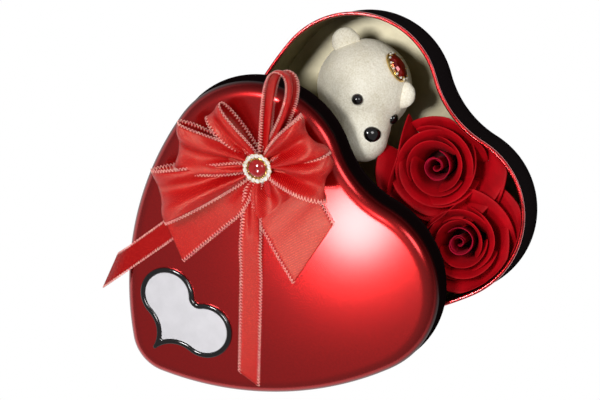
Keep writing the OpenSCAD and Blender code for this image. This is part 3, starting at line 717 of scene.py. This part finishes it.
def brooch():
    # Setting: a round plate with a scalloped cup for each stone and beads of metal between them
    bm = bmesh.new()
    cone(bm, 96, 7.9, 7.6, 0.9, shift(z=0.45))
    for i in range(STONES):
        cone(bm, 20, 1.05, 1.3, 1.3, on_ring(i, STONE_ROW, 0.75))
        ball(bm, 0.38, on_ring(i, 7.75, 1.6, 0.5))
        ball(bm, 0.3, on_ring(i, 5.6, 1.6, 0.5))
    # The rim that holds the bead, drawn up and in from a ring on the plate
    ring = bmesh.ops.create_circle(bm, segments=64, radius=5.2*MM, matrix=shift(z=0.9))["verts"]
    edges = list({e for v in ring for e in v.link_edges if e.other_vert(v) in ring})
    for out, up in ((0.0, 0.5), (-0.3, 0.2), (-0.25, -0.25)):
        got = bmesh.ops.extrude_edge_only(bm, edges=edges)["geom"]
        edges = [g for g in got if isinstance(g, bmesh.types.BMEdge)]
        for v in [g for g in got if isinstance(g, bmesh.types.BMVert)]:
            way = Vector((v.co.x, v.co.y, 0)).normalized()
            v.co += (way*out + Vector((0, 0, up)))*MM
    bmesh.ops.recalc_face_normals(bm, faces=bm.faces)
    piece("brooch_gold_setting", bm, BROOCH_GOLD, "lid", ["brooch_setting"], crease=35, at=BROOCH)
    # Stones: low brilliants with a table and a ring of facets
    bm = bmesh.new()
    for i in range(STONES):
        at = on_ring(i, STONE_ROW, 1.2)
        cone(bm, 8, 1.0, 1.28, 0.7, at @ shift(z=0.35))
        cone(bm, 8, 1.28, 0.7, 0.55, at @ shift(z=0.975) @ turn_by(22.5))
    piece("brooch_rhinestones", bm, RHINESTONE, "lid", ["brooch_stones"], crease=5, at=BROOCH)
    # Bead: a polished dome
    bm = bmesh.new()
    bmesh.ops.create_uvsphere(bm, u_segments=64, v_segments=40, radius=1.0)
    for v in bm.verts:
        v.co = Vector((v.co.x*4.9, v.co.y*4.9, 1.2 + max(v.co.z, -0.1)*3.1))*MM
    close_up(bm)
    piece("brooch_red_bead", bm, BEAD, "lid", ["brooch_bead"], crease=40, at=BROOCH)


brooch()

# Bear

HEAD = Vector((-42.01, 4.93, 26.9))
BODY_L = 62
# The pile's unevenness in mm, and how firmly the bear is stuffed
PILE, FILL = 0.18, 0.85


def aim(turn, up):
    """The direction at these angles, in degrees."""
    t, a = math.radians(turn), math.radians(up)
    return Vector((math.cos(t)*math.cos(a), math.sin(t)*math.cos(a), math.sin(a)))


def stuffed(name, balls, nodes, blend, voxel=0.8, seed=0):
    """Plush over stuffing: rounded forms run together into one skin, with short pile on it.
    Each ball is [middle, size along x, y and z, direction of its x]."""
    bm = bmesh.new()
    for middle, size, way in balls:
        at = Matrix.Translation(Vector(middle)*MM) @ Vector(way).to_track_quat("X", "Z").to_matrix().to_4x4()
        bmesh.ops.create_icosphere(bm, subdivisions=4, radius=MM, matrix=at @ Matrix.Diagonal((*size, 1)))
    mesh = bpy.data.meshes.new(name + "_stuffing")
    bm.to_mesh(mesh)
    bm.free()
    rough = put_in_scene(name + "_stuffing", mesh)
    skin = rough.modifiers.new("skin", "REMESH")
    skin.mode, skin.voxel_size = "VOXEL", voxel*MM
    soft = rough.modifiers.new("soft", "SMOOTH")
    soft.factor, soft.iterations = 0.5, blend
    bm = bmesh.new()
    bm.from_mesh(take_mesh(rough))
    bmesh.ops.recalc_face_normals(bm, faces=bm.faces)
    bm.normal_update()
    start = Vector((seed*7.3, seed*3.1, seed*5.7))

    def pile_at(v):
        """Tufts 1.5 mm across on blots 9 mm across."""
        return noise.fractal(v.co/MM/1.5 + start, 0.6, 2.1, 3)*PILE + noise.noise(v.co/MM/9 + start)*PILE

    for v, move in [(v, v.normal*pile_at(v)*MM) for v in bm.verts]:
        v.co += move
    piece(name, bm, PLUSH, "base", nodes, crease=0)


def bear():
    snout = aim(-33, 23)
    stuffed("bear_head_plush", [
        [HEAD, (25.8, 25.8, 25.4), (1, 0, 0)],
        [HEAD + snout*12, (18, 18, 17), snout],
        [HEAD + snout*22, (17, 14.6, 13.4), snout],
        [HEAD + snout*29.5, (13.5, 13, 11.6), snout],
    ], ["bear_head", "bear_muzzle"], blend=16)
    # An ear is a flat pad, sewn on at its foot
    for side, turn, up, far in (("left", 164, 14, 26.5), ("right", 43, 20, 23.5)):
        way = aim(turn, up)
        stuffed(f"bear_ear_{side}_plush", [
            [HEAD + way*far, (7.6, 7.9, 3.4), way],
            [HEAD + way*(far + 1), (7.2, 7.4, 3.8), way],
        ], [f"bear_ear_{side}"], seed=turn, blend=4)
    for side, turn, up in (("left", -32, 76), ("right", 8, 20)):
        bm = bmesh.new()
        bmesh.ops.create_uvsphere(bm, u_segments=40, v_segments=24, radius=3.2*MM,
                                  matrix=Matrix.Translation((HEAD + aim(turn, up)*25.2)*MM))
        piece(f"bear_eye_{side}_bead", bm, EYE_BLACK, "base", [f"bear_eye_{side}"], crease=0)
    # The nose is a flattened bead, wider towards one end
    bm = bmesh.new()
    up = aim(34, 58)
    at = Matrix.Translation((HEAD + snout*25.35 + up*12.2)*MM) @ up.to_track_quat("Z", "Y").to_matrix().to_4x4()
    bmesh.ops.create_uvsphere(bm, u_segments=48, v_segments=32, radius=1.0)
    for v in bm.verts:
        wide = 1 + 0.16*v.co.x
        v.co = Vector((v.co.x*4.7, v.co.y*4.9*wide, v.co.z*3.0))*MM
    piece("bear_nose_bead", bm, EYE_BLACK, "base", ["bear_nose"], crease=0, at=at)
    # Body and limbs lie under the lid
    along = aim(-80, 0)
    top = HEAD + Vector((0.3, -16.12, 0))
    top.z = 18.9
    stuffed("bear_body_plush", [
        [top + along*18, (17, 15.5, 16), along],
        [top + along*34, (20, 17.4, 17.4), along],
        [top + along*46, (15, 16, 16), along],
    ], ["bear_body"], seed=3, voxel=1.0, blend=12)
    # Arms and legs: how far across and down the body each starts, its direction and its length
    for name, across, down, yaw, long in (
        ("bear_arm_left", -14.4, 0.2, -108, 28.5), ("bear_arm_right", 14.4, 0.2, -62, 28.5),
        ("bear_leg_left", -5.8, 0.72, -74, 34.7), ("bear_leg_right", 7.2, 0.72, -55, 34.7),
    ):
        start = top + along*BODY_L*down + Vector((across, 0, 0))
        start.z = 10.5
        way = aim(yaw, 0)
        stuffed(name + "_plush", [
            [start + way*long*0.36, (long*0.36, 5.6, 5.6), way],
            [start + way*long*0.72, (long*0.26, 6.5, 6.5), way],
        ], [name], seed=yaw, voxel=1.0, blend=8)


bear()


def oval_disc(segments, half_l, half_w, low, tall):
    bm = bmesh.new()
    bmesh.ops.create_cone(bm, cap_ends=True, segments=segments, radius1=1.0, radius2=1.0, depth=1.0)
    for v in bm.verts:
        v.co = Vector((v.co.x*half_l, v.co.y*half_w, low + (v.co.z + 0.5)*tall))*MM
    return bm


def round_oval(count, half_l, half_w, z):
    """So many places round an oval."""
    turns = [2*math.pi*(i + 0.5)/count for i in range(count)]
    return [shift(half_l*math.cos(turn), half_w*math.sin(turn), z) for turn in turns]


def gem():
    """A large oval gem in a claw setting, with a row of small clear stones."""
    turn = 82
    at = Matrix.Translation((HEAD + aim(turn, 30)*26)*MM) @ turn_by(turn) @ turn_by(66, "Y") @ turn_by(90)
    bm = oval_disc(48, 8.6, 5.7, -1.2, 2.2)
    bmesh.ops.bevel(bm, geom=bm.edges, offset=0.3*MM, segments=2, profile=0.5, affect="EDGES", material=-1)
    for claw in round_oval(8, 7.3, 4.6, 2.2):
        ball(bm, 0.55, claw)
    piece("gem_claw_setting", bm, BROOCH_GOLD, "base", ["gem_setting"], crease=35, at=at)
    # The stone's facets step in to a flat table
    bm = oval_disc(16, 7.2, 4.5, 1.0, 1.2)
    top = [f for f in bm.faces if f.normal.z > 0.9]
    for size, lift in ((0.72, 1.0), (0.6, 0.7)):
        top = bmesh.ops.extrude_discrete_faces(bm, faces=top)["faces"]
        for v in {v for f in top for v in f.verts}:
            v.co = Vector((v.co.x*size, v.co.y*size, v.co.z + lift*MM))
        bmesh.ops.remove_doubles(bm, verts=bm.verts, dist=0.0)
    bmesh.ops.recalc_face_normals(bm, faces=bm.faces)
    piece("gem_red_stone", bm, GEM, "base", ["gem_stone"], crease=5, at=at)
    bm = bmesh.new()
    for crystal in round_oval(14, 7.8, 4.9, 1.45):
        cone(bm, 8, 0.7, 0.4, 0.9, crystal)
    piece("gem_small_crystals", bm, RHINESTONE, "base", ["gem_crystals"], crease=5, at=at)


gem()

# Roses

PETAL_FOOT_Z = 18.9
WALL_CLEAR = 3.0
# The share of its height from which a petal's lip rolls over
LIP_FROM = 0.78
CUP_FOOT_R, CUP_R, CUP_H, CUP_Z = 7.65, 17, 18, 9.9


def inside_tin(x, y):
    """The nearest place that is clear of the tin's wall."""
    side = -1 if x < 0 else 1
    p = Vector((abs(x), y))
    for centre, radius, start, end, way in TIN_ARCS:
        off = p - Vector(centre)
        turn = math.degrees(math.atan2(off.y, off.x))
        if min(start, end) <= turn <= max(start, end) and (off.length - radius + WALL_CLEAR*way)*way > 0:
            p = Vector(centre) + off.normalized()*(radius - WALL_CLEAR*way)
    return p.x*side, p.y


def add_petal(bm, at, turn, span, foot, lip, height, spiral, curl, seed, ruffle=0.6, top_dip=0.3,
              straight=0.0):
    """One petal, a thin sheet that stands on the cup, leans out and rolls over at its lip.
    spiral is how much further out its left edge stands than its right one, and straight is how flat it lies
    across instead of round the rose."""
    rnd = random.Random(seed)
    waves = [rnd.uniform(0.6, 1.4), rnd.uniform(0, 6.28), rnd.uniform(0, 6.28)]
    sheet = grid(22, 16)
    for v in sheet.verts:
        u, s = 2*v.co.x - 1, v.co.y
        # The outline is broad and round: the sides come down towards the corners
        tall = height*(1 - top_dip*abs(u)**3.2)
        reach = (lip - foot)*(0.35*s + 0.65*s**2.2)
        r = foot + reach + spiral*u*0.5
        over = max(s - LIP_FROM, 0)/(1 - LIP_FROM)
        r += curl*height*0.16*over**1.6 + ruffle*math.sin(waves[0]*3*u + waves[1])*s**3
        z = tall*s - curl*height*0.1*over**2 + ruffle*0.6*math.sin(4*u + waves[2])*s**2
        narrow = 1 - 0.45*(1 - s)**1.5
        aside = math.radians(span/2*u*narrow)
        a = math.radians(turn) + aside
        r *= 1 + straight*(1/math.cos(aside) - 1)
        x, y = inside_tin(at[0] + r*math.cos(a), at[1] + r*math.sin(a))
        v.co = Vector((x, y, PETAL_FOOT_Z + z))*MM
    mesh = bpy.data.meshes.new("petal")
    sheet.to_mesh(mesh)
    sheet.free()
    bm.from_mesh(mesh)
    bpy.data.meshes.remove(mesh)


def new_petals():
    bm = bmesh.new()
    bm.loops.layers.uv.new("UVMap")
    return bm


def foam(key, ring, part, bm, material, thickness):
    made = piece(f"rose_{key}_{ring}_foam", bm, material, "base", [f"rose_{key}_{part}"], crease=0)
    thicken(made, thickness, 1)


def rose(key, at, outer, inner_turn, bud_turn, seed, wide=1.0):
    """Outer petals, a ring of inner ones that overlap like a spiral, and a bud of rolled petals, on a cup."""
    bm = new_petals()
    for i, (turn, span, lip, height, curl, *straight) in enumerate(outer):
        add_petal(bm, at, turn, span, 13.0, lip, height, spiral=1.5, curl=curl, seed=seed + i,
                  straight=sum(straight))
    foam(key, "outer", "outer_petals", bm, PETAL, 0.8)
    bm = new_petals()
    rnd = random.Random(seed + 40)
    for i in range(4):
        turn = inner_turn + 90*i + rnd.uniform(-8, 8)
        add_petal(bm, at, turn, 160, 10.5, 17.5*wide, 32.2 + rnd.uniform(-0.8, 0.6), spiral=3.6, curl=0.25,
                  ruffle=0.5, seed=seed + 10 + i, top_dip=0.22)
    for i in range(3):
        turn = inner_turn + 40 + 120*i + rnd.uniform(-8, 8)
        add_petal(bm, at, turn, 180, 8.2, 12.4*wide, 32.6 + rnd.uniform(-0.6, 0.6), spiral=3.2, curl=0.15,
                  ruffle=0.4, seed=seed + 20 + i, top_dip=0.16)
    foam(key, "inner", "inner_petals", bm, PETAL, 0.7)
    bm = new_petals()
    for i, (r, span, height) in enumerate(((1.9, 300, 31.0), (3.6, 230, 31.5), (5.2, 220, 31.8), (6.6, 210, 31.6))):
        add_petal(bm, at, bud_turn + 130*i, span, r*0.95, r*1.12, height, spiral=2.2, curl=0.06, ruffle=0.25,
                  seed=seed + 30 + i, top_dip=0.1)
    foam(key, "bud", "bud", bm, HEART_OF_ROSE, 0.6)
    bm = bmesh.new()
    cone(bm, 40, CUP_FOOT_R, CUP_R, CUP_H, shift(*at, CUP_Z))
    # Its upper edge runs in five low waves
    for v in bm.verts:
        a = math.atan2(v.co.y/MM - at[1], v.co.x/MM - at[0])
        v.co.z += 0.4*math.sin(5*a)*MM if v.co.z > 12*MM else 0
    sharp = [e for e in bm.edges if e.calc_face_angle(0) > 0.6]
    bmesh.ops.bevel(bm, geom=sharp, offset=0.8*MM, segments=3, profile=0.5, affect="EDGES", material=-1)
    piece(f"rose_{key}_cup_foam", bm, CUP, "base", [f"rose_{key}_cup"], crease=35)


# Each outer petal: its direction, how wide it spans, how far it leans, its height, its curl and how flat it is
rose("a", (16.94, 13.95), [
    (56, 80, 38.0, 27.0, 0.2), (22, 76, 35.0, 25.5, 0.2), (118, 120, 25.5, 29.6, 0.4),
    (250, 76, 33.0, 25.0, 0.3), (220, 96, 23.5, 31.4, -0.3, 1.0), (285, 96, 24.0, 28.6, 0.5),
    (322, 84, 29.0, 25.4, 0.3), (345, 96, 21.5, 28.8, 0.2),
], inner_turn=10, bud_turn=0, seed=1, wide=1.14)
rose("b", (57.1, 0), [
    (66, 110, 36.0, 26.0, 0.2), (100, 104, 28.0, 28.6, 0.4), (34, 110, 25.0, 27.8, 0.4),
    (188, 104, 18.6, 31.2, -0.2, 0.7), (250, 96, 27.0, 28.2, 0.4), (320, 110, 26.0, 28.2, 0.4),
], inner_turn=55, bud_turn=60, seed=101)
rose("c", (20.02, -58.07), [
    (18, 100, 24.0, 28.6, 0.4), (90, 100, 24.0, 28.6, 0.4), (162, 90, 20.0, 28.6, 0.2),
    (234, 96, 24.0, 28.2, 0.4), (306, 100, 24.0, 28.4, 0.4),
], inner_turn=55, bud_turn=60, seed=201)


# Floor, light and camera

WHITE = (1, 1, 1, 1)


def bare_tree(made):
    made.use_nodes = True
    made.node_tree.nodes.clear()
    return made.node_tree


def paper_floor():
    """White paper: pale itself, and as bright as the photo's background for the camera and in the metal."""
    made = bpy.data.materials.new("white_paper")
    tree = bare_tree(made)
    seen = add(tree, "ShaderNodeLightPath")
    shown = seen.outputs["Is Camera Ray"]
    for ray in ("Is Glossy Ray", "Is Transmission Ray"):
        shown = add(tree, "ShaderNodeMath", {0: shown, 1: seen.outputs[ray]}, operation="MAXIMUM").outputs[0]
    lit = add(tree, "ShaderNodeBsdfDiffuse", {"Color": linear("#d8d8d8")})
    glow = add(tree, "ShaderNodeEmission", {"Color": WHITE, "Strength": 1.0})
    both = add(tree, "ShaderNodeMixShader", {0: shown, 1: lit.outputs[0], 2: glow.outputs[0]})
    add(tree, "ShaderNodeOutputMaterial", {"Surface": both.outputs[0]})
    bm = bmesh.new()
    bmesh.ops.create_grid(bm, x_segments=8, y_segments=8, size=4.0)
    mesh = bpy.data.meshes.new("floor")
    bm.to_mesh(mesh)
    bm.free()
    mesh.materials.append(made)
    floor = put_in_scene("floor", mesh)
    floor.location.z = -0.2*MM


def room_light(level):
    """Plain light from all round, and a white background."""
    scene.world = bpy.data.worlds.new("studio")
    tree = bare_tree(scene.world)
    seen = add(tree, "ShaderNodeLightPath")
    dim = add(tree, "ShaderNodeBackground", {"Color": WHITE, "Strength": level})
    white = add(tree, "ShaderNodeBackground", {"Color": WHITE, "Strength": 1.0})
    both = add(tree, "ShaderNodeMixShader", {
        0: seen.outputs["Is Camera Ray"], 1: dim.outputs[0], 2: white.outputs[0],
    })
    add(tree, "ShaderNodeOutputWorld", {"Surface": both.outputs[0]})


def softbox(name, at, towards, size, power):
    light = bpy.data.lights.new(name, "AREA")
    light.shape = "DISK"
    light.size = size
    light.energy = power
    made = put_in_scene(name, light)
    made.location = at
    made.rotation_mode = "QUATERNION"
    made.rotation_quaternion = (Vector(towards) - Vector(at)).to_track_quat("-Z", "Y")


paper_floor()
room_light(0.28)
# A small lamp near the panel gives the glare on it. The main one stands where neither the panel nor the
# tin's floor mirrors it
glare = Vector((17.1, -32.0, 77.6))*MM
softbox("near_softbox", glare + Vector((0.129, -0.587, 0.799))*0.2, glare, 0.04, 0.12)
softbox("overhead_softbox", (0.25, 0.75, 0.95), (0, -0.03, 0.03), 0.45, 3.0)
softbox("main_softbox", (-0.3, -0.13, 1.22), (0, 0, 0.03), 0.25, 8.5)

camera = put_in_scene("camera", bpy.data.cameras.new("camera"))
camera.data.sensor_width = 36
camera.data.lens = 183.2
camera.data.clip_start, camera.data.clip_end = 0.05, 20
camera.matrix_world = Matrix.Translation((0.0823, 0.28408, 1.65207)) @ Matrix((
    (0.58625, -0.80808, 0.05755), (0.78475, 0.58409, 0.2074), (-0.20121, -0.07643, 0.97656),
)).to_4x4()
scene.camera = camera
scene.view_settings.view_transform = "Standard"
